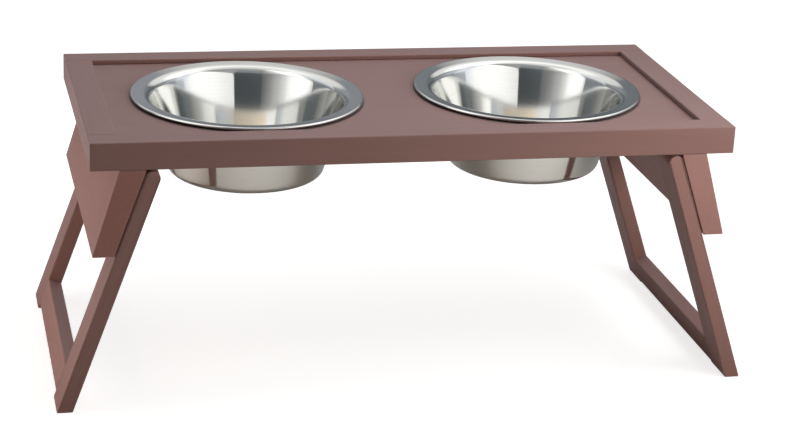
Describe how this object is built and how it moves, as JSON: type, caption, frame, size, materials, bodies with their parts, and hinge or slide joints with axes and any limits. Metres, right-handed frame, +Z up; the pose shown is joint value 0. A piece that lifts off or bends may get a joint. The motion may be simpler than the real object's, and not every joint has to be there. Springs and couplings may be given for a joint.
{
  "type": "raised dog feeder",
  "caption": "Raised feeder tray with a recessed deck that holds round lift-out metal bowls, on splayed legs that stop against tapered brace boards and fold flat under the tray.",
  "frame": {"origin": "on the floor under the middle of the tray", "axes": "+X along the tray's length to the right, +Y from the front to the back, +Z up"},
  "size_m": [0.6614, 0.289, 0.257],
  "materials": {
    "board": "russet-brown stained, satin, fine straight grain",
    "bowl_steel": "polished inside, satin outside, bright rolled edge",
    "fastener_steel": "zinc plated",
    "dowel_beech": "plain beech"
  },
  "bodies": {
    "tray": {"front_rail": "board", "back_rail": "board", "left_end_rail": "board", "right_end_rail": "board", "deck_panel": "board", "left_brace": "board", "right_brace": "board", "left_brace_screws": "fastener_steel", "right_brace_screws": "fastener_steel", "front_left_pivot_lug": "board", "back_left_pivot_lug": "board", "front_right_pivot_lug": "board", "back_right_pivot_lug": "board", "left_lug_screws": "fastener_steel", "right_lug_screws": "fastener_steel", "front_left_pivot_pin": "fastener_steel", "back_left_pivot_pin": "fastener_steel", "front_right_pivot_pin": "fastener_steel", "back_right_pivot_pin": "fastener_steel"},
    "left_leg": {"left_front_stile": "board", "left_back_stile": "board", "left_stretcher": "board", "left_leg_dowels": "dowel_beech"},
    "right_leg": {"right_front_stile": "board", "right_back_stile": "board", "right_stretcher": "board", "right_leg_dowels": "dowel_beech"},
    "left_bowl": {"left_bowl": "bowl_steel"},
    "right_bowl": {"right_bowl": "bowl_steel"}
  },
  "joints": [
    {"name": "left_leg_fold", "type": "hinge", "parent": "tray", "child": "left_leg", "pos_m": [-0.2445, 0, 0.2225], "axis": [0, -1, 0], "range_deg": [0, 109.5]},
    {"name": "right_leg_fold", "type": "hinge", "parent": "tray", "child": "right_leg", "pos_m": [0.2445, 0, 0.2225], "axis": [0, 1, 0], "range_deg": [0, 109.5]},
    {"name": "left_bowl_lift", "type": "slide", "parent": "tray", "child": "left_bowl", "axis": [0, 0, 1], "range_m": [0, 0.085]},
    {"name": "right_bowl_lift", "type": "slide", "parent": "tray", "child": "right_bowl", "axis": [0, 0, 1], "range_m": [0, 0.085]}
  ]
}
